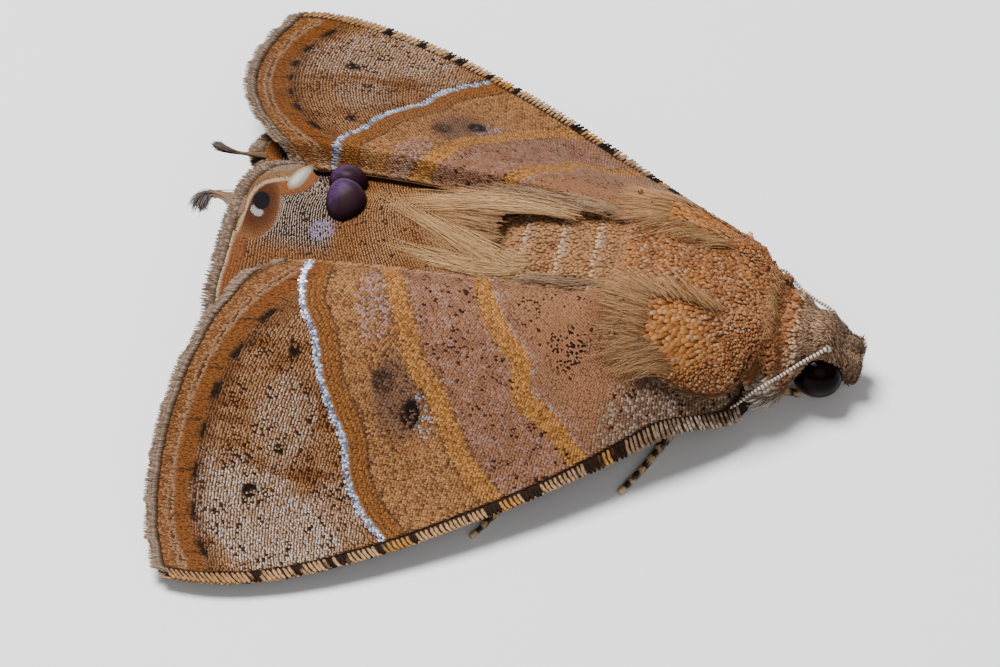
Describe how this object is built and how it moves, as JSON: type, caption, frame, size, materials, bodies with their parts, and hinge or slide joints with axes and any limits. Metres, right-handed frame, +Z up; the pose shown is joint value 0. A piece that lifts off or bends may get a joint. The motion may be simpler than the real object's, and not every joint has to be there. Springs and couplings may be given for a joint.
{
  "type": "moth model",
  "caption": "Life-size still model of a resting moth, forewings spread flat as a low roof over hindwings and abdomen.",
  "frame": {"origin": "centre of the box on the ground plane, under the resting moth", "axes": "+X towards the head, +Y to the moth's left, +Z up from the ground"},
  "size_m": [0.018, 0.0198, 0.0049],
  "materials": {
    "forewing": "scaled wing, orange-brown with paler bands",
    "hindwing": "scaled wing, tan with dark and white rows",
    "false_eye": "raised scales, dark purple sheen",
    "thorax": "rust-orange scales",
    "tegula": "rounded rust-orange scales",
    "abdomen": "tan scales with cream bands",
    "collar": "rust-orange scales with lilac tips",
    "head": "brown hair-like scales",
    "eye": "near-black compound eye",
    "palp": "brown hair-like scales",
    "antenna": "ringed pale and brown",
    "leg": "cream and brown bands"
  },
  "bodies": {
    "root": {"head": "head", "collar": "collar", "thorax": "thorax", "abdomen": "abdomen", "eye_left": "eye", "palp_left": "palp", "antenna_left": "antenna", "tegula_left": "tegula", "forewing_left": "forewing", "foreleg_left": "leg", "midleg_left": "leg", "hindleg_left": "leg", "hindwing_left": "hindwing", "false_eye_left": "false_eye", "eye_right": "eye", "palp_right": "palp", "antenna_right": "antenna", "tegula_right": "tegula", "forewing_right": "forewing", "foreleg_right": "leg", "midleg_right": "leg", "hindleg_right": "leg", "hindwing_right": "hindwing", "false_eye_right": "false_eye"}
  },
  "joints": []
}
